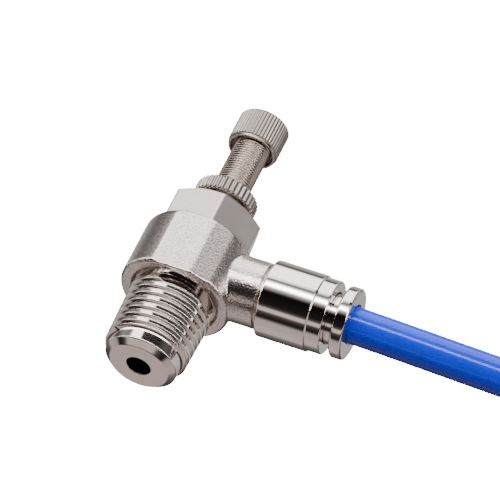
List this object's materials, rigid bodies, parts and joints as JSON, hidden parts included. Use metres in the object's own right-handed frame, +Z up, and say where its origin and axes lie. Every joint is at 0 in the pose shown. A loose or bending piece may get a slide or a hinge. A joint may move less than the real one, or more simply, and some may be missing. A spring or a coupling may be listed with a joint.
{
  "type": "flow control valve",
  "caption": "All-metal elbow flow control valve: taper-threaded stud, swivel elbow with push-in tube port, hexagon bonnet, lock nut and knurled needle knob.",
  "frame": {"origin": "on the axis of the pipe thread, at its hand-tight gauge plane, 8 mm above the stud's end face", "axes": "+Z up the needle from the stud to the knob, +X out along the tube port, +Y completes a right-handed frame"},
  "size_m": [0.0732, 0.0168, 0.0516],
  "materials": {
    "nickel_satin": "nickel plate over turned brass, satin",
    "nickel_blasted": "nickel plate over blasted forged brass",
    "nickel_polished": "bright polished nickel plate",
    "brass_plain": "plain turned brass",
    "spring_steel": "bright spring steel",
    "nitrile_black": "matt black rubber",
    "seal_white": "white low-friction plastic",
    "tube_blue": "clear blue polyurethane tube, glossy"
  },
  "bodies": {
    "stem": {"stud": "nickel_satin", "seat_insert": "seal_white", "stem_o_ring_lower": "nitrile_black", "stem_o_ring_upper": "nitrile_black", "check_lip_seal": "nitrile_black", "gland_bush": "brass_plain", "gland_o_ring": "nitrile_black", "hex_bonnet": "nickel_satin", "bonnet_o_ring": "nitrile_black"},
    "elbow": {"elbow_body": "nickel_blasted", "port_sleeve": "nickel_polished", "tube_seal": "nitrile_black", "backup_ring": "seal_white", "grab_ring": "spring_steel", "collet_guide": "brass_plain"},
    "needle_carrier": {"needle_stop_ring": "spring_steel"},
    "needle_and_knob": {"needle": "nickel_satin", "knob": "nickel_satin"},
    "lock_nut": {"lock_nut": "nickel_satin"},
    "release_ring": {"release_ring": "nickel_polished"},
    "tube": {"tube": "tube_blue"}
  },
  "joints": [
    {"name": "elbow_swivel", "type": "hinge", "parent": "stem", "child": "elbow", "pos_m": [0, 0, 0.01162], "axis": [0, 0, 1], "continuous": true},
    {"name": "needle_lift", "type": "slide", "parent": "stem", "child": "needle_carrier", "axis": [0, 0, 1], "range_m": [-0.005, 0.0005]},
    {"name": "needle_turn", "type": "hinge", "parent": "needle_carrier", "child": "needle_and_knob", "pos_m": [0, 0, 0.0375], "axis": [0, 0, 1], "range_deg": [-3600, 360]},
    {"name": "lock_nut_lift", "type": "slide", "parent": "stem", "child": "lock_nut", "axis": [0, 0, 1], "range_m": [-0.00225, 0.001]},
    {"name": "release_press", "type": "slide", "parent": "elbow", "child": "release_ring", "axis": [-1, 0, 0], "range_m": [0, 0.0013], "stiffness_N_per_m": 1500, "springref_m": -0.0005},
    {"name": "tube_pull", "type": "slide", "parent": "elbow", "child": "tube", "axis": [1, 0, 0], "range_m": [0, 0.013]}
  ],
  "couplings": [
    {"joint": "needle_turn", "follows": "needle_lift", "rad_per_m": 12566}
  ]
}
